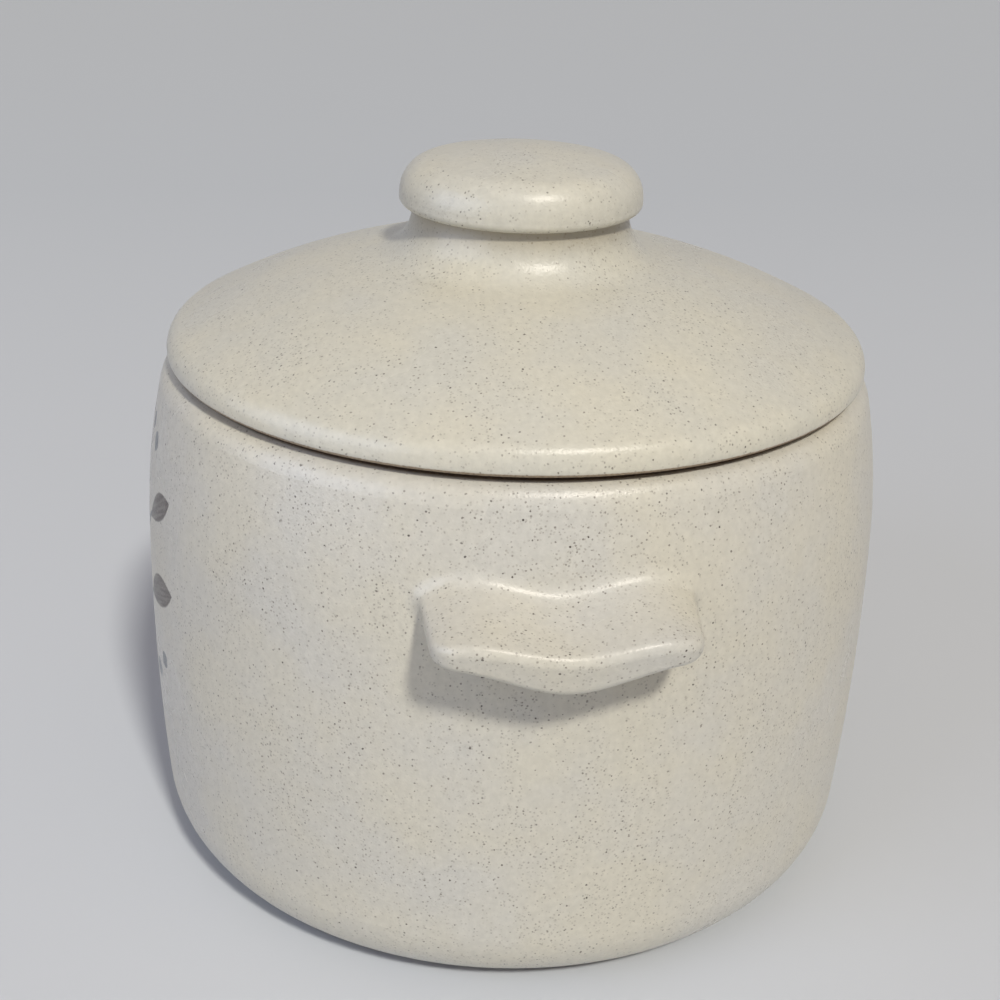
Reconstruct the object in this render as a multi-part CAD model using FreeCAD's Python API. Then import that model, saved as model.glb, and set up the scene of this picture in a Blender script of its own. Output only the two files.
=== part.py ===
import FreeCAD, Part
import math
import os

# Stoneware bean pot: a bellied pot with two lug handles, and a domed lid that lifts off by its knob.
# Millimetres. The origin is the centre of the foot, on the surface that the pot stands on. +Z is up,
# the handles lie along X, and the front of the pot faces -Y.

# Pot, outside
BELLY_RADIUS = 92.0         # widest radius of the pot
BELLY_HEIGHT = 64.5         # height of the widest place
SIDE_ARC = 635.0            # profile radius of the gently bowed side
RIM_HEIGHT = 128.2          # top of the rim
SHOULDER_DEPTH = 37.0       # below the rim, where the side starts to turn in
SHOULDER_ARC = 170.0        # profile radius of the shoulder
RIM_ROUND = 6.5             # rounding from the shoulder to the rim's top
BASE_CORNER = 19.0          # rounding from the side to the foot

# Pot, inside and underneath
WALL = 6.5                  # thickness of the side
FLOOR = 7.0                 # height of the inside floor
INNER_CORNER = 15.0         # rounding from the side to the floor
RIM_LAND = 4.0              # flat ring on top of the rim that the lid rests on
MOUTH_DEPTH = 6.5           # height of the straight wall of the mouth
MOUTH_EDGE = 1.5            # rounding of the mouth's two edges
LEDGE_ROUND = 5.0           # rounding inside the shoulder, under the rim
FOOT_WIDTH = 6.0            # width of the bare ring that touches the table
FOOT_RECESS = 1.6           # depth of the hollow inside that ring

# Lid
SEAT_GAP = 0.3              # between the rim and the lid's seat
FLANGE_CLEARANCE = 1.0      # between the mouth and the lid's flange
FLANGE_WIDTH = 5.5
FLANGE_DEPTH = 8.0          # below the lid's seat
FLANGE_EDGE = 1.6           # rounding of the flange's lower edges
LID_OVERHANG = 4.4          # from the rim's flat ring out to the lid's widest place
LID_WALL = 6.5              # thickness of the dome
EDGE_LIFT = 1.2             # height of the lid's lower edge above its seat
EDGE_UNDER = 1.4            # rounding under the lid's edge
EDGE_STOP = math.radians(-60.0)     # angle at which that rounding ends in the bare lower edge
EDGE_SIDE = 0.4             # straight side of the lid's edge
EDGE_ROUND = 5.4            # rounding over the lid's edge
DOME_ARC = 177.0            # radius of the dome
CEILING_ROUND = 4.0         # rounding from the dome's underside to the flange
NECK_RADIUS = 26.0          # neck under the knob
NECK_FILLET = 11.5          # sweep from the dome up to the neck
NECK_LENGTH = 0.6           # straight part of the neck

# Knob
KNOB_OVERHANG = 3.2         # from the neck out to the knob's widest place
KNOB_UNDER = 1.8            # rounding under the knob's edge
KNOB_SIDE = 1.4             # length of the knob's side
KNOB_DRAFT = math.radians(3.0)      # how far that side leans in
KNOB_EDGE = 8.2             # rounding over the knob's edge
KNOB_CROWN = 100.0          # radius of the knob's top

# Lug handles: each is a drooping shelf, broad at the wall and narrower at its rounded front. Two
# swells on top leave a dip for the thumb between them, and the lower edge hangs in a bow.
HANDLE_REACH = 18.5         # from the widest wall to the front face, at the dip
FRONT_LEAN = math.radians(12.0)     # how far the front face leans in towards its lower edge
HANDLE_DROP = 22.75         # from the rim down to the dip, at the wall
HANDLE_FALL = 3.4           # further drop of the dip at the front
ROOT_WIDTH = 56.6
FRONT_WIDTH = 54.0
ROOT_SWELL = 2.3            # rise of the swells above the dip
FRONT_SWELL = 2.1
SWELL_PLACE = 0.6           # place of the swells, as a share of the half width
ROOT_END_DROP = 1.5         # upper corner of the ends at the wall, below the dip
FRONT_END_RISE = 0.5        # and at the front, above the dip
MIDDLE_THICKNESS = 9.7
SWELL_THICKNESS = 7.9
END_THICKNESS = 4.9
CORNER_ROUND = 6.5          # rounding of the front corners, seen from above
HANDLE_EDGE = 2.2           # rounding around the top and the bottom
ROOT_FILLET = 4.5           # sweep from the handle to the wall
KEY_DEPTH = 1.5             # how deep the handle's foot is let into the wall
KEY_LAND = 1.5              # how far that foot reaches beyond the sweep

AXIS = (FreeCAD.Vector(0, 0, 0), FreeCAD.Vector(0, 0, 1))
NEAR = 0.001                # points closer than this to a surface lie on it


class Profile:
    """A half section in the r-z plane, drawn as lines and arcs and turned about the Z axis."""

    def __init__(self, r, z):
        self.place = (r, z)
        self.edges = []

    def line(self, r, z):
        start = FreeCAD.Vector(self.place[0], 0, self.place[1])
        self.edges.append(Part.makeLine(start, FreeCAD.Vector(r, 0, z)))
        self.place = (r, z)

    def arc(self, centre, end_angle):
        """Follow the circle about centre the short way round to end_angle."""
        dr = self.place[0] - centre[0]
        dz = self.place[1] - centre[1]
        radius = math.hypot(dr, dz)
        angle = math.atan2(dz, dr)
        turn = math.remainder(end_angle - angle, 2 * math.pi)
        points = [polar(centre, radius, angle + share * turn) for share in (0, 0.5, 1)]
        self.edges.append(Part.Arc(*[FreeCAD.Vector(r, 0, z) for r, z in points]).toShape())
        self.place = points[2]

    def turned(self):
        """Close the section along the axis and turn it into a solid."""
        first = self.edges[0].Vertexes[0].Point
        self.line(first.x, first.z)
        face = Part.Face(Part.Wire(self.edges))
        return face.revolve(*AXIS, 360)


def polar(centre, radius, angle):
    return (centre[0] + radius * math.cos(angle), centre[1] + radius * math.sin(angle))


def centre_at_height(about, distance, height):
    """Point at a height and at a distance from another point, on the side away from the axis."""
    return (about[0] + math.sqrt(distance ** 2 - (height - about[1]) ** 2), height)


def centre_at_radius(about, distance, radius):
    """Point at a radius and at a distance from another point, above that point."""
    return (radius, about[1] + math.sqrt(distance ** 2 - (radius - about[0]) ** 2))


def bearing(centre, other):
    """Angle from one centre to another, which is where two touching circles meet."""
    return math.atan2(other[1] - centre[1], other[0] - centre[0])


# Circles of the pot's profile: each rounding touches the arc beside it
SIDE_CENTRE = (BELLY_RADIUS - SIDE_ARC, BELLY_HEIGHT)
SHOULDER_ANGLE = math.asin((RIM_HEIGHT - SHOULDER_DEPTH - BELLY_HEIGHT) / SIDE_ARC)
SHOULDER_CENTRE = polar(SIDE_CENTRE, SIDE_ARC - SHOULDER_ARC, SHOULDER_ANGLE)
BASE_CENTRE = centre_at_height(SIDE_CENTRE, SIDE_ARC - BASE_CORNER, BASE_CORNER)
RIM_CENTRE = centre_at_height(SHOULDER_CENTRE, SHOULDER_ARC - RIM_ROUND, RIM_HEIGHT - RIM_ROUND)

# Fit of the lid on the rim
LAND_RADIUS = RIM_CENTRE[0]
LIP_RADIUS = LAND_RADIUS - RIM_LAND
MOUTH_RADIUS = LIP_RADIUS - MOUTH_EDGE
SEAT_HEIGHT = RIM_HEIGHT + SEAT_GAP
FLANGE_RADIUS = MOUTH_RADIUS - FLANGE_CLEARANCE

# Circles of the lid's profile
LID_RADIUS = LAND_RADIUS + LID_OVERHANG
UNDER_HEIGHT = SEAT_HEIGHT + EDGE_LIFT - EDGE_UNDER * math.sin(EDGE_STOP)
UNDER_CENTRE = (LID_RADIUS - EDGE_UNDER, UNDER_HEIGHT)
EDGE_CENTRE = (LID_RADIUS - EDGE_ROUND, UNDER_HEIGHT + EDGE_SIDE)
DOME_CENTRE = (0, EDGE_CENTRE[1] - math.sqrt((DOME_ARC - EDGE_ROUND) ** 2 - EDGE_CENTRE[0] ** 2))
NECK_CENTRE = centre_at_radius(DOME_CENTRE, DOME_ARC + NECK_FILLET, NECK_RADIUS + NECK_FILLET)
KNOB_SEAT = NECK_CENTRE[1] + NECK_LENGTH


def pot_outside(inset=0.0):
    """The pot as a full solid, with its outside drawn in by inset."""
    profile = Profile(0, inset)
    profile.line(BASE_CENTRE[0], inset)
    profile.arc(BASE_CENTRE, bearing(SIDE_CENTRE, BASE_CENTRE))
    profile.arc(SIDE_CENTRE, SHOULDER_ANGLE)
    profile.arc(SHOULDER_CENTRE, bearing(SHOULDER_CENTRE, RIM_CENTRE))
    profile.arc(RIM_CENTRE, math.pi / 2)
    profile.line(0, RIM_HEIGHT - inset)
    return profile.turned()


def pot_cavity():
    """The space inside the pot, up through the mouth."""
    side = SIDE_ARC - WALL
    shoulder = SHOULDER_ARC - WALL
    ledge_height = RIM_HEIGHT - MOUTH_DEPTH
    corner = centre_at_height(SIDE_CENTRE, side - INNER_CORNER, FLOOR + INNER_CORNER)
    ledge = centre_at_height(SHOULDER_CENTRE, shoulder - LEDGE_ROUND, ledge_height - LEDGE_ROUND)
    profile = Profile(0, FLOOR)
    profile.line(corner[0], FLOOR)
    profile.arc(corner, bearing(SIDE_CENTRE, corner))
    profile.arc(SIDE_CENTRE, SHOULDER_ANGLE)
    profile.arc(SHOULDER_CENTRE, bearing(SHOULDER_CENTRE, ledge))
    profile.arc(ledge, math.pi / 2)
    profile.line(LIP_RADIUS, ledge_height)
    profile.arc((LIP_RADIUS, ledge_height + MOUTH_EDGE), math.pi)
    profile.line(MOUTH_RADIUS, RIM_HEIGHT - MOUTH_EDGE)
    profile.arc((LIP_RADIUS, RIM_HEIGHT - MOUTH_EDGE), math.pi / 2)
    profile.line(LIP_RADIUS, RIM_HEIGHT + MOUTH_EDGE)
    profile.line(0, RIM_HEIGHT + MOUTH_EDGE)
    return profile.turned()


def foot_hollow():
    """The shallow hollow that leaves only a ring of the foot on the table. Its side slopes."""
    radius = BASE_CENTRE[0] - FOOT_WIDTH
    profile = Profile(0, -FOOT_RECESS)
    profile.line(radius + FOOT_RECESS, -FOOT_RECESS)
    profile.line(radius - FOOT_RECESS, FOOT_RECESS)
    profile.line(0, FOOT_RECESS)
    return profile.turned()


def lid():
    """Domed lid with a flange that drops into the mouth, a bare seat, and the neck of the knob."""
    ceiling = DOME_ARC - LID_WALL
    inner = FLANGE_RADIUS - FLANGE_WIDTH
    bottom = SEAT_HEIGHT - FLANGE_DEPTH
    corner = centre_at_radius(DOME_CENTRE, ceiling - CEILING_ROUND, inner - CEILING_ROUND)
    profile = Profile(0, DOME_CENTRE[1] + ceiling)
    profile.arc(DOME_CENTRE, bearing(DOME_CENTRE, corner))
    profile.arc(corner, 0)
    profile.line(inner, bottom + FLANGE_EDGE)
    profile.arc((inner + FLANGE_EDGE, bottom + FLANGE_EDGE), -math.pi / 2)
    profile.line(FLANGE_RADIUS - FLANGE_EDGE, bottom)
    profile.arc((FLANGE_RADIUS - FLANGE_EDGE, bottom + FLANGE_EDGE), 0)
    profile.line(FLANGE_RADIUS, SEAT_HEIGHT)
    profile.line(LAND_RADIUS, SEAT_HEIGHT)
    profile.line(*polar(UNDER_CENTRE, EDGE_UNDER, EDGE_STOP))
    profile.arc(UNDER_CENTRE, 0)
    profile.line(LID_RADIUS, EDGE_CENTRE[1])
    profile.arc(EDGE_CENTRE, bearing(DOME_CENTRE, EDGE_CENTRE))
    profile.arc(DOME_CENTRE, bearing(DOME_CENTRE, NECK_CENTRE))
    profile.arc(NECK_CENTRE, math.pi)
    profile.line(NECK_RADIUS, KNOB_SEAT)
    profile.line(0, KNOB_SEAT)
    return profile.turned()


def lid_knob():
    """Button knob with a leaning side and a slightly crowned top, luted onto the lid's neck."""
    under = (NECK_RADIUS + KNOB_OVERHANG - KNOB_UNDER, KNOB_SEAT + KNOB_UNDER)
    foot = polar(under, KNOB_UNDER, KNOB_DRAFT)
    top = polar(foot, KNOB_SIDE, KNOB_DRAFT + math.pi / 2)
    edge = polar(top, -KNOB_EDGE, KNOB_DRAFT)
    crown = (0, edge[1] - math.sqrt((KNOB_CROWN - KNOB_EDGE) ** 2 - edge[0] ** 2))
    profile = Profile(0, KNOB_SEAT)
    profile.line(under[0], KNOB_SEAT)
    profile.arc(under, KNOB_DRAFT)
    profile.line(*top)
    profile.arc(edge, bearing(crown, edge))
    profile.arc(crown, math.pi / 2)
    return profile.turned()


def handle_section(x):
    """The section of the right handle where it crosses the plane at x, with sharp ends."""
    share = (x - BELLY_RADIUS) / HANDLE_REACH

    def between(at_wall, at_front):
        return at_wall + (at_front - at_wall) * share

    half = between(ROOT_WIDTH, FRONT_WIDTH) / 2
    dip = RIM_HEIGHT - HANDLE_DROP - HANDLE_FALL * share
    swell = dip + between(ROOT_SWELL, FRONT_SWELL)
    end = dip + between(-ROOT_END_DROP, FRONT_END_RISE)
    place = SWELL_PLACE * half

    def across(end_height, side_height, middle_height):
        curve = Part.BSplineCurve()
        curve.interpolate([FreeCAD.Vector(x, y, z) for y, z in (
            (-half, end_height), (-place, side_height), (0, middle_height), (place, side_height),
            (half, end_height))])
        return curve.toShape()

    top = across(end, swell, dip)
    bottom = across(end - END_THICKNESS, swell - SWELL_THICKNESS, dip - MIDDLE_THICKNESS)
    ends = [Part.makeLine(FreeCAD.Vector(x, y, end - END_THICKNESS), FreeCAD.Vector(x, y, end))
            for y in (-half, half)]
    return Part.Wire(Part.__sortEdges__([top, bottom] + ends))


def edges_where(solid, test):
    """Edges of a solid that pass a test at points along each."""
    def passes(edge):
        span = edge.LastParameter - edge.FirstParameter
        return all(test(edge.valueAt(edge.FirstParameter + share * span))
                   for share in (0.02, 0.35, 0.65, 0.98))
    return [edge for edge in solid.Edges if passes(edge)]


def handle_lug():
    """The right handle with its rounded corners and edges, run on into the pot."""
    back = BELLY_RADIUS - 2 * WALL
    front = BELLY_RADIUS + HANDLE_REACH
    bar = Part.makeLoft([handle_section(back), handle_section(front + WALL)], True, True)
    dip = RIM_HEIGHT - HANDLE_DROP - HANDLE_FALL

    def front_radius(height):
        return front + (height - dip) * math.tan(FRONT_LEAN)

    reach = Part.makeCone(front_radius(0), front_radius(RIM_HEIGHT), RIM_HEIGHT)
    reach.rotate(*AXIS, 180)
    lug = bar.common(reach).Solids[0]

    def on_front(point):
        return abs(math.hypot(point.x, point.y) - front_radius(point.z)) < NEAR

    corners = [edge for edge in edges_where(lug, on_front)
               if abs(edge.Vertexes[0].Z - edge.Vertexes[-1].Z) > 0.9 * END_THICKNESS]
    lug = lug.makeFillet(CORNER_ROUND, corners)

    def upright(face):
        u_start, u_end, v_start, v_end = face.ParameterRange
        return abs(face.normalAt((u_start + u_end) / 2, (v_start + v_end) / 2).z) < 0.5

    around = [edge for face in lug.Faces if upright(face) and face.BoundBox.XMax > back + NEAR
              for edge in face.Edges]
    rim = [edge for edge in around if sum(edge.isSame(other) for other in around) == 1
           and any(vertex.X > back + NEAR for vertex in edge.Vertexes)]
    return lug.makeFillet(min(HANDLE_EDGE, 0.45 * END_THICKNESS), rim)


def key_block():
    """Rounded block around the right handle that bounds the patch of wall made with the handle."""
    under_angle = math.pi / 2 - math.atan(HANDLE_FALL / HANDLE_REACH)
    margin = ROOT_FILLET / math.tan(under_angle / 2) + KEY_LAND
    half = ROOT_WIDTH / 2 + margin
    top = RIM_HEIGHT - HANDLE_DROP + ROOT_SWELL + margin
    bottom = RIM_HEIGHT - HANDLE_DROP - MIDDLE_THICKNESS - margin
    start = BELLY_RADIUS / 2
    block = Part.makeBox(BELLY_RADIUS - start + 2 * HANDLE_REACH, 2 * half, top - bottom,
                         FreeCAD.Vector(start, -half, bottom))
    corners = [edge for edge in block.Edges if abs(edge.tangentAt(edge.FirstParameter).x) > 0.5]
    return block.makeFillet(0.4 * (top - bottom), corners)


def handle_and_socket(outside):
    """The right handle with its foot, and the socket in the wall that the foot fills."""
    lug = handle_lug()
    wall, skin = outside.Shells[0], lug.Shells[0]

    def on_both(point):
        vertex = Part.Vertex(point)
        return wall.distToShape(vertex)[0] < NEAR and skin.distToShape(vertex)[0] < NEAR

    joined = outside.fuse(lug)
    joined = joined.makeFillet(ROOT_FILLET, edges_where(joined, on_both))
    block = key_block()
    core = pot_outside(KEY_DEPTH)
    return joined.cut(core).common(block).Solids[0], block.cut(core)


def main():
    os.makedirs("parts", exist_ok=True)
    outside = pot_outside()
    handle_right, socket_right = handle_and_socket(outside)
    handle_left = handle_right.copy()
    handle_left.rotate(*AXIS, 180)
    socket_left = socket_right.copy()
    socket_left.rotate(*AXIS, 180)
    pot_body = outside.cut([pot_cavity(), foot_hollow(), socket_right, socket_left]).Solids[0]
    nodes = {
        "pot_body": pot_body,
        "handle_right": handle_right,
        "handle_left": handle_left,
        "lid": lid(),
        "lid_knob": lid_knob(),
    }
    for name, solid in nodes.items():
        solid.exportStep(f"parts/{name}.step")


if __name__ == "__main__":
    main()
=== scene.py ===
import math

import bpy
from mathutils import Matrix, Vector


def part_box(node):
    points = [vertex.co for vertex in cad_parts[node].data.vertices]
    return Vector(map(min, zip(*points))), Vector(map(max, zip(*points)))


# Looks of the stoneware bean pot. Metres, in the frame of the CAD part: the foot stands on z = 0, the
# handles lie along X and the front faces -Y.

MM = 0.001

# Camera: stands by the right handle, a little towards the front, and looks down on the lid
CAMERA_PLACE = (0.3763, -0.0462, 0.2573)
CAMERA_HEADING = math.radians(83.4)
CAMERA_PITCH = math.radians(24.24)
CAMERA_ROLL = math.radians(1.9)
CAMERA_LENS = 57.6
CAMERA_SENSOR = 36.0

# Stage
FLOOR_SPREAD = 8.0
FLOOR_NEAR, FLOOR_FAR = 0.15, -0.7      # places along X where the floor has its two tones; the darker, bluer far tone is painted shade away from the lamps
AIM_HEIGHT = 0.09                       # height on the pot's axis that the lamps point at
SUN_DISTANCE = 3.0

# Glaze
CLOUD_SIZE = 26 * MM        # patches where it lies thicker or thinner
CROWD_SIZE = 21 * MM        # patches where its specks crowd
MOTTLE_SIZE = 1.6 * MM      # fine unevenness of its colour
RAGGED_SIZE = 0.6 * MM      # wobble in the outlines of specks and brush strokes
RAGGED_SHIFT = 0.35 * MM
RIPPLE_SIZE = 15 * MM       # slow waves in its surface
RIPPLE_HEIGHT = 0.06 * MM
PEEL_SIZE = 0.6 * MM        # orange peel in its surface
PEEL_HEIGHT = 0.075 * MM
SHADE_REACH = 8 * MM            # how far the painted shade reaches below a sharp turn
SHADE_TINT = "#9C9078"      # colour of that painted shade, a dull brown
GLAZE_IOR = 1.5
GLAZE_ROUGHNESS = (0.25, 0.31)

# Bare clay, where the glaze was wiped off
CLAY_TONES = ("#857563", "#A6947D")
CLAY_ROUGHNESS = 0.85
RIM_CREVICE_SHADE = (0.46, 0.40, 0.34)     # shares of its red, green and blue kept on the rim's flat top, painted shade for the crevice under the lid
FOOT_WIPED = 2.2 * MM       # up from the ground
LID_WIPED = 10.1 * MM       # up from the foot of the lid's flange
RIM_WIPED = 0.3 * MM        # down from the rim's flat top
WIPE_BLUR = 0.2 * MM        # width of the wiped edge

# Iron specks: distance between grains, largest radius, share that shows, colour and strength
SPECKS = [
    (0.85 * MM, 0.30 * MM, 0.70, "#91887C", 0.50),
    (1.15 * MM, 0.30 * MM, 0.62, "#6A6157", 0.75),
    (1.90 * MM, 0.30 * MM, 0.54, "#40362E", 0.95),
]

# Sprig on the front, in mm on the unrolled wall: middle (around from the front, up from the foot), turn
# in degrees, length, width and bend of each stroke
WALL_RADIUS = 91.5 * MM
SPRIG = [
    ("#59616A", [((1, 68), 84, 84, 2.4, 0.9), ((11, 66), 48, 22, 1.7, 0.5), ((-9, 58), 140, 24, 1.7, -0.5),
                 ((12, 88), 40, 24, 1.6, 0.5), ((-9, 84), 128, 26, 1.6, -0.5)]),
    ("#33211D", [((26, 76), 22, 27, 8.5, 0.25), ((-24, 66), 158, 26, 8.0, -0.25),
                 ((27, 98), 30, 22, 7.0, 0.2), ((-24, 98), 146, 25, 7.5, -0.2),
                 ((4, 108), 84, 21, 6.5, 0.1)]),
    ("#59616A", [((20, 112), 70, 6, 5, 0), ((13, 115), 80, 5, 4.2, 0), ((-12, 112), 110, 6, 5, 0),
                 ((21, 52), 20, 8, 5.5, 0), ((29, 58), 40, 6, 4.5, 0), ((-20, 46), 150, 7, 5, 0)]),
]


def linear(code):
    """An sRGB hex colour as the linear RGBA that the shader nodes take."""
    shares = [int(code[i:i + 2], 16) / 255 for i in (1, 3, 5)]
    return [s / 12.92 if s <= 0.04045 else ((s + 0.055) / 1.055) ** 2.4 for s in shares] + [1.0]


def add(tree, kind, inputs=None, **settings):
    """Add a shader node with its settings, and give its inputs their values or the sockets they follow."""
    node = tree.nodes.new("ShaderNode" + kind)
    for name, value in settings.items():
        setattr(node, name, value)
    for name, value in (inputs or {}).items():
        if isinstance(value, bpy.types.NodeSocket):
            tree.links.new(value, node.inputs[name])
        else:
            node.inputs[name].default_value = value
    return node


def new_material(name):
    material = bpy.data.materials.new(name)
    material.use_nodes = True
    material.node_tree.nodes.clear()
    return material, material.node_tree


def brush_stroke(tree, wall, middle, turn, length, width, bend):
    """How thickly one leaf-shaped stroke covers the unrolled wall. It is pointed at both ends and fuller
    towards its tip, and the brush's hairs leave lighter streaks along it."""
    own = add(tree, "Mapping", {"Vector": wall, "Location": (middle[0] * MM, middle[1] * MM, 0),
                                "Rotation": (0, 0, math.radians(turn)),
                                "Scale": (length / 2 * MM, width / 2 * MM, 1)}, vector_type="TEXTURE")
    axes = add(tree, "SeparateXYZ", {"Vector": own.outputs[0]})
    along, side = axes.outputs["X"], axes.outputs["Y"]
    square = add(tree, "Math", {0: along, 1: along}, operation="MULTIPLY").outputs[0]
    sideways = add(tree, "Math", {0: square, 1: bend, 2: side}, operation="MULTIPLY_ADD").outputs[0]
    off = add(tree, "Math", {0: sideways}, operation="ABSOLUTE").outputs[0]
    belly = add(tree, "Math", {0: 1.0, 1: square}, operation="SUBTRACT", use_clamp=True).outputs[0]
    fuller = add(tree, "Math", {0: along, 1: 0.35, 2: 1.0}, operation="MULTIPLY_ADD").outputs[0]
    edge = add(tree, "Math", {0: belly, 1: fuller}, operation="MULTIPLY").outputs[0]
    inside = add(tree, "Math", {0: edge, 1: off}, operation="SUBTRACT").outputs[0]
    shape = add(tree, "MapRange", {"Value": inside, "From Min": 0.0, "From Max": 0.14},
                interpolation_type="SMOOTHSTEP").outputs[0]
    drawn = add(tree, "VectorMath", {0: own.outputs[0], 1: (0.9, 3.0, 1.0)}, operation="MULTIPLY").outputs[0]
    started = add(tree, "VectorMath", {0: drawn, 1: (*middle, 0)}, operation="ADD").outputs[0]
    hairs = add(tree, "TexNoise", {"Vector": started, "Scale": 1.3, "Detail": 3.0})
    load = add(tree, "MapRange", {"Value": hairs.outputs["Fac"], "From Min": 0.32, "From Max": 0.60,
                                  "To Min": 0.76, "To Max": 0.98})
    return add(tree, "Math", {0: shape, 1: load.outputs[0]}, operation="MULTIPLY").outputs[0]


def brushed_sprig(tree, place, jitter, facing_y, colour):
    """A plain sprig brushed on the front in iron and slate oxides, its edges softened by the melted
    glaze. It is on the outside only, where the front wall faces -Y."""
    outside = add(tree, "Math", {0: facing_y, 1: 0.0}, operation="LESS_THAN").outputs[0]
    axes = add(tree, "SeparateXYZ", {"Vector": place})
    front = add(tree, "Math", {0: axes.outputs["Y"], 1: -1.0}, operation="MULTIPLY")
    angle = add(tree, "Math", {0: axes.outputs["X"], 1: front.outputs[0]}, operation="ARCTAN2")
    around = add(tree, "Math", {0: angle.outputs[0], 1: WALL_RADIUS}, operation="MULTIPLY")
    flat = add(tree, "CombineXYZ", {"X": around.outputs[0], "Y": axes.outputs["Z"]})
    wall = add(tree, "VectorMath", {0: flat.outputs[0], 1: jitter}, operation="ADD").outputs[0]
    for tint, strokes in SPRIG:
        for stroke in strokes:
            paint = brush_stroke(tree, wall, *stroke)
            weight = add(tree, "Math", {0: paint, 1: outside}, operation="MULTIPLY").outputs[0]
            colour = add(tree, "Mix", {0: weight, 6: colour, 7: linear(tint)},
                         data_type="RGBA").outputs[2]
    return colour


def iron_specks(tree, place, patches, spacing, radius, share):
    """Mask of the specks that iron grains in the clay bleed through the glaze, and how dark each is.
    Only grains that lie within their radius of the surface show, and they crowd where patches is high."""
    cells = add(tree, "TexVoronoi", {"Vector": place, "Scale": 1 / spacing})
    dice = add(tree, "SeparateColor", {"Color": cells.outputs["Color"]})
    lifted = add(tree, "Math", {0: dice.outputs["Red"], 1: patches}, operation="ADD")
    size = add(tree, "MapRange", {"Value": lifted.outputs[0], "From Min": 1.5 - share,
                                  "From Max": 1.65 - share, "To Min": 0.0, "To Max": radius / spacing})
    core = add(tree, "Math", {0: size.outputs[0], 1: 0.55}, operation="MULTIPLY")
    spot = add(tree, "MapRange", {"Value": cells.outputs["Distance"], "From Min": size.outputs[0],
                                  "From Max": core.outputs[0]}, interpolation_type="SMOOTHSTEP")
    depth = add(tree, "MapRange", {"Value": dice.outputs["Green"], "To Min": 0.35})
    return add(tree, "Math", {0: spot.outputs[0], 1: depth.outputs[0]}, operation="MULTIPLY").outputs[0]


def cloudy_body(tree, place, clouds, warm, cool):
    """Titanium in the melt leaves the glaze cloudy, warm where it is thin and cooler where it is thick."""
    thin = add(tree, "MapRange", {"Value": clouds, "From Min": 0.36, "From Max": 0.64})
    body = add(tree, "Mix", {0: thin.outputs[0], 6: linear(cool), 7: linear(warm)}, data_type="RGBA")
    mottle = add(tree, "TexNoise", {"Vector": place, "Scale": 1 / MOTTLE_SIZE, "Detail": 3.0,
                                    "Roughness": 0.6})
    grey = add(tree, "MapRange", {"Value": mottle.outputs["Fac"], "From Min": 0.3, "From Max": 0.7,
                                  "To Min": 0.94, "To Max": 1.05})
    return add(tree, "VectorMath", {0: body.outputs[2], "Scale": grey.outputs[0]},
               operation="SCALE").outputs[0]


def speckled(tree, place, rough_place, iron, colour):
    """Three sizes of brown iron specks over the glaze. Iron says how many there are."""
    crowds = add(tree, "TexNoise", {"Vector": place, "Scale": 1 / CROWD_SIZE, "Detail": 3.0,
                                    "Roughness": 0.68})
    patches = add(tree, "MapRange", {"Value": crowds.outputs["Fac"], "From Min": 0.3, "From Max": 0.7,
                                     "To Min": 0.05, "To Max": 0.90})
    for spacing, radius, share, tint, depth in SPECKS:
        mask = iron_specks(tree, rough_place, patches.outputs[0], spacing, radius, share * iron)
        weight = add(tree, "Math", {0: mask, 1: depth}, operation="MULTIPLY")
        colour = add(tree, "Mix", {0: weight.outputs[0], 6: colour, 7: linear(tint)},
                     data_type="RGBA").outputs[2]
    return colour


def painted_shade_below(tree, place, turn, colour):
    """Painted shade: up to a sharp turn at this height the colour darkens towards a dull brown, as the shade
    under an overhang.
    """
    height = add(tree, "SeparateXYZ", {"Vector": place}).outputs["Z"]
    thin = add(tree, "MapRange", {"Value": height, "From Min": turn - SHADE_REACH, "From Max": turn,
                                  "To Max": 0.7}, interpolation_type="SMOOTHSTEP")
    return add(tree, "Mix", {0: thin.outputs[0], 6: colour, 7: linear(SHADE_TINT)},
               data_type="RGBA").outputs[2]


def buff_clay(tree, grain):
    """Unglazed buff stoneware, matt and grainy from the sand in it."""
    dark, light = CLAY_TONES
    share = add(tree, "MapRange", {"Value": grain, "From Min": 0.30, "From Max": 0.62})
    return add(tree, "Mix", {0: share.outputs[0], 6: linear(dark), 7: linear(light)},
               data_type="RGBA").outputs[2]


def wipe(tree, height, facing, clay, colour, roughness):
    """Let the given clay colour show where both masks are full, the one for the height and the one for the
    side that the surface faces. On the rim that colour is darkened as painted shade."""
    bare = add(tree, "Math", {0: height, 1: facing}, operation="MULTIPLY").outputs[0]
    colour = add(tree, "Mix", {0: bare, 6: colour, 7: clay}, data_type="RGBA").outputs[2]
    roughness = add(tree, "Mix", {0: bare, 2: roughness, 3: CLAY_ROUGHNESS}).outputs[0]
    return colour, roughness


def rippled(tree, place, peel):
    """Surface normal with slow waves and fine orange peel, which break up the highlights."""
    ripple = add(tree, "TexNoise", {"Vector": place, "Scale": 1 / RIPPLE_SIZE, "Detail": 2.0})
    broad = add(tree, "Bump", {"Height": ripple.outputs["Fac"], "Distance": RIPPLE_HEIGHT})
    return add(tree, "Bump", {"Height": peel, "Distance": PEEL_HEIGHT, "Normal": broad.outputs[0]}).outputs[0]


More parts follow.
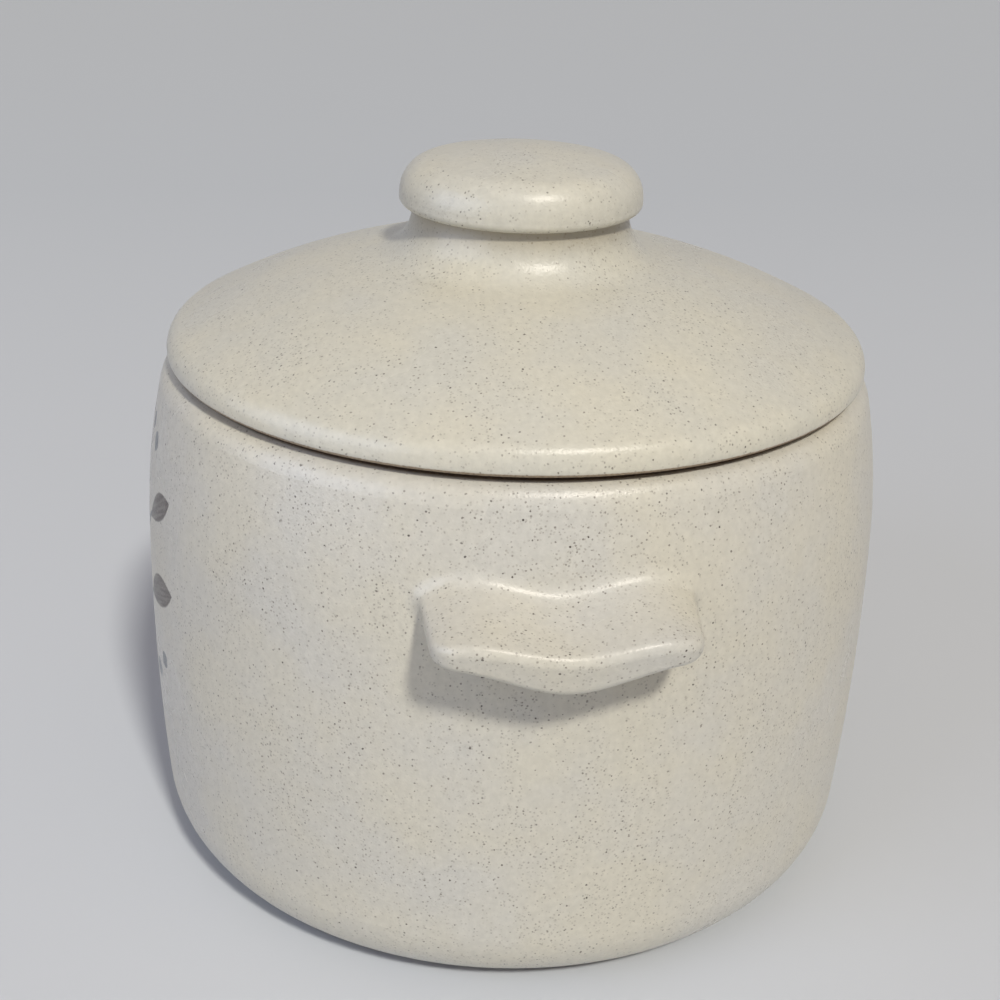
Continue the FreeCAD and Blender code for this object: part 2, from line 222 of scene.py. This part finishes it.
def oatmeal_glaze(name, warm, cool, bare_below, iron=1.0, turn=None, land=None, painted=False):
    """Oatmeal glaze over speckled buff stoneware, melted to a soft gloss. Below the height bare_below, on the
    side that faces down, the clay was wiped clean for firing. Up to the height turn the colour darkens
    towards a dull brown, painted shade under the knob. Above the height land the level rim was wiped too, and
    its clay is darkened with painted shade for the crevice under the lid."""
    material, tree = new_material(name)
    place = add(tree, "TexCoord").outputs["Object"]
    facing = add(tree, "SeparateXYZ", {"Vector": add(tree, "NewGeometry").outputs["Normal"]})
    ragged = add(tree, "TexNoise", {"Vector": place, "Scale": 1 / RAGGED_SIZE, "Detail": 1.0})
    jitter = add(tree, "VectorMath", {0: ragged.outputs["Color"], 1: (RAGGED_SHIFT,) * 3},
                 operation="MULTIPLY").outputs[0]
    rough_place = add(tree, "VectorMath", {0: place, 1: jitter}, operation="ADD").outputs[0]
    height = add(tree, "SeparateXYZ", {"Vector": rough_place}).outputs["Z"]
    clouds = add(tree, "TexNoise", {"Vector": place, "Scale": 1 / CLOUD_SIZE, "Detail": 3.0}).outputs["Fac"]
    peel = add(tree, "TexNoise", {"Vector": place, "Scale": 1 / PEEL_SIZE, "Detail": 2.0}).outputs["Fac"]

    colour = cloudy_body(tree, place, clouds, warm, cool)
    if painted:
        colour = brushed_sprig(tree, place, jitter, facing.outputs["Y"], colour)
    colour = speckled(tree, place, rough_place, iron, colour)
    # painted shade under the knob's overhang, darkening the lid up to the knob's seat
    if turn is not None:
        colour = painted_shade_below(tree, place, turn, colour)
    roughness = add(tree, "MapRange", {"Value": clouds, "To Min": GLAZE_ROUGHNESS[0],
                                       "To Max": GLAZE_ROUGHNESS[1]}).outputs[0]

    clay = buff_clay(tree, peel)
    low = add(tree, "MapRange", {"Value": height, "From Min": bare_below + WIPE_BLUR / 2,
                                 "From Max": bare_below - WIPE_BLUR / 2}).outputs[0]
    down = add(tree, "MapRange", {"Value": facing.outputs["Z"], "From Min": -0.15,
                                  "From Max": -0.35}).outputs[0]
    colour, roughness = wipe(tree, low, down, clay, colour, roughness)
    if land is not None:
        high = add(tree, "MapRange", {"Value": height, "From Min": land,
                                      "From Max": land + WIPE_BLUR}).outputs[0]
        level = add(tree, "MapRange", {"Value": facing.outputs["Z"], "From Min": 0.955,
                                       "From Max": 0.985}).outputs[0]
        # painted shade: the bare rim top is darkened to stand for the shaded crevice under the lid's edge
        crevice_shaded_clay = add(tree, "VectorMath", {0: clay, 1: RIM_CREVICE_SHADE}, operation="MULTIPLY").outputs[0]
        colour, roughness = wipe(tree, high, level, crevice_shaded_clay, colour, roughness)

    shader = add(tree, "BsdfPrincipled", {"Base Color": colour, "Roughness": roughness, "IOR": GLAZE_IOR,
                                          "Normal": rippled(tree, place, peel)})
    add(tree, "OutputMaterial", {"Surface": shader.outputs[0]})
    return material


def dress(nodes):
    """Glaze every piece. The handles are dipped together with the pot."""
    rim_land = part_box("pot_body")[1][2] - RIM_WIPED
    lid_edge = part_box("lid")[0][2] + LID_WIPED
    knob_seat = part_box("lid_knob")[0][2]
    pot_glaze = oatmeal_glaze("pot_oatmeal_glaze", "#CEC9BA", "#CAC7BE", bare_below=FOOT_WIPED,
                              land=rim_land, painted=True)
    glazes = {
        "lid": oatmeal_glaze("lid_oatmeal_glaze", "#CFCAB9", "#CAC7BB", bare_below=lid_edge, iron=0.9,
                             turn=knob_seat),
        "lid_knob": oatmeal_glaze("knob_oatmeal_glaze", "#CFCAB9", "#CAC7BB", bare_below=knob_seat,
                                  iron=0.7),
    }
    for name, node in nodes.items():
        node.data.materials.clear()
        node.data.materials.append(glazes.get(name, pot_glaze))


def matt_paper(near, far):
    """Matt pale paper that the pot stands on, with painted shade: a little darker and bluer behind the pot.
    """
    material, tree = new_material("pale_paper")
    place = add(tree, "SeparateXYZ", {"Vector": add(tree, "TexCoord").outputs["Object"]})
    # painted shade: the colour darkens and turns bluer towards the back, away from the lamps
    shade_behind = add(tree, "MapRange", {"Value": place.outputs["X"], "From Min": FLOOR_NEAR, "From Max": FLOOR_FAR})
    tone = add(tree, "Mix", {0: shade_behind.outputs[0], 6: linear(near), 7: linear(far)}, data_type="RGBA")
    shader = add(tree, "BsdfPrincipled", {"Base Color": tone.outputs[2], "Roughness": 0.9,
                                          "Specular IOR Level": 0.1})
    add(tree, "OutputMaterial", {"Surface": shader.outputs[0]})
    return material


def make_floor():
    mesh = bpy.data.meshes.new("floor")
    half = FLOOR_SPREAD / 2
    mesh.from_pydata([(-half, -half, 0), (half, -half, 0), (half, half, 0), (-half, half, 0)], [],
                     [(0, 1, 2, 3)])
    floor = bpy.data.objects.new("floor", mesh)
    # the second colour is the painted shade behind the pot
    floor.data.materials.append(matt_paper("#CED1D6", "#C0C5CC"))
    bpy.context.scene.collection.objects.link(floor)


def make_world():
    """A pale backdrop that the camera and the glaze see, and a dimmer light from all sides."""
    world = bpy.data.worlds.new("studio")
    bpy.context.scene.world = world
    world.use_nodes = True
    tree = world.node_tree
    tree.nodes.clear()
    seen = add(tree, "Background", {"Color": linear("#B1B4BA"), "Strength": 1.0})
    ambient = add(tree, "Background", {"Color": linear("#FFF4F4"), "Strength": 0.225})
    path = add(tree, "LightPath")
    mirrored = add(tree, "Math", {0: path.outputs["Is Glossy Ray"],
                                  1: path.outputs["Is Transmission Ray"]}, operation="MAXIMUM")
    shown = add(tree, "Math", {0: path.outputs["Is Camera Ray"], 1: mirrored.outputs[0]},
                operation="MAXIMUM")
    mix = add(tree, "MixShader", {0: shown.outputs[0], 1: ambient.outputs[0], 2: seen.outputs[0]})
    add(tree, "OutputWorld", {"Surface": mix.outputs[0]})


def hang(lamp, code, azimuth, elevation, distance, diffuse=True, gloss=True):
    """Hang a lamp so that it points at the pot. Azimuth 0 is on the side of +X, and 90 on that of +Y.
    Diffuse and gloss say whether it lights colours and whether it is mirrored."""
    turn, rise = math.radians(azimuth), math.radians(elevation)
    away = Vector((math.cos(turn) * math.cos(rise), math.sin(turn) * math.cos(rise), math.sin(rise)))
    lamp.color = linear(code)[:3]
    holder = bpy.data.objects.new(lamp.name, lamp)
    holder.visible_diffuse = diffuse
    holder.visible_glossy = gloss
    holder.location = Vector((0, 0, AIM_HEIGHT)) + away * distance
    holder.rotation_mode = "QUATERNION"
    holder.rotation_quaternion = away.to_track_quat("Z", "Y")
    bpy.context.scene.collection.objects.link(holder)


def make_sun(name, code, strength, breadth, azimuth, elevation, **seen):
    """A far lamp that lights pot and floor evenly. Its breadth in degrees sets the shadow's softness."""
    lamp = bpy.data.lights.new(name, "SUN")
    lamp.angle = math.radians(breadth)
    lamp.energy = strength
    hang(lamp, code, azimuth, elevation, SUN_DISTANCE, **seen)


def make_panel(name, code, power, width, height, distance, azimuth, elevation, **seen):
    """A near, soft panel aimed at the pot, so that the floor darkens away from it."""
    lamp = bpy.data.lights.new(name, "AREA")
    lamp.shape = "RECTANGLE"
    lamp.size, lamp.size_y = width, height
    lamp.energy = power
    hang(lamp, code, azimuth, elevation, distance, **seen)


def make_lights():
    """The key casts the shadows. The glint stands for it in the glaze, as the sheen does for the
    window."""
    make_sun("key", "#FFFCF3", strength=2.26, breadth=6, azimuth=13, elevation=46, gloss=False)
    make_panel("glint", "#FFF8EC", power=6.8, width=0.46, height=0.24, distance=1.3, azimuth=25,
               elevation=60, diffuse=False)
    make_panel("window", "#CADCFF", power=4.5, width=0.9, height=0.9, distance=1.5, azimuth=-58,
               elevation=30, gloss=False)
    make_panel("sheen", "#D2E0FF", power=11.5, width=1.5, height=1.2, distance=1.5, azimuth=-72,
               elevation=22, diffuse=False)
    make_sun("ceiling", "#FFF4E4", strength=0.30, breadth=60, azimuth=0, elevation=80)
    make_sun("room", "#F2F6FF", strength=0.06, breadth=40, azimuth=0, elevation=20)


def make_camera():
    camera = bpy.data.objects.new("camera", bpy.data.cameras.new("camera"))
    camera.data.lens = CAMERA_LENS
    camera.data.sensor_width = CAMERA_SENSOR
    turn = (Matrix.Rotation(CAMERA_HEADING, 4, "Z") @ Matrix.Rotation(math.pi / 2 - CAMERA_PITCH, 4, "X")
            @ Matrix.Rotation(CAMERA_ROLL, 4, "Z"))
    camera.matrix_world = Matrix.Translation(CAMERA_PLACE) @ turn
    bpy.context.scene.collection.objects.link(camera)
    bpy.context.scene.camera = camera


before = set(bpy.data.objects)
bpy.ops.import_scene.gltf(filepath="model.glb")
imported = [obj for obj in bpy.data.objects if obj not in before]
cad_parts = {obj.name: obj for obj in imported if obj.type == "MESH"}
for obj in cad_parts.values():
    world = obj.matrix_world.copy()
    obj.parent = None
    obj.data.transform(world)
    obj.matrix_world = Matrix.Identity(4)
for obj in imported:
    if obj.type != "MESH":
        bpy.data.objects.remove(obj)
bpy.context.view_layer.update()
dress(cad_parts)
make_floor()
make_world()
make_lights()
make_camera()
bpy.context.scene.view_settings.view_transform = "Standard"
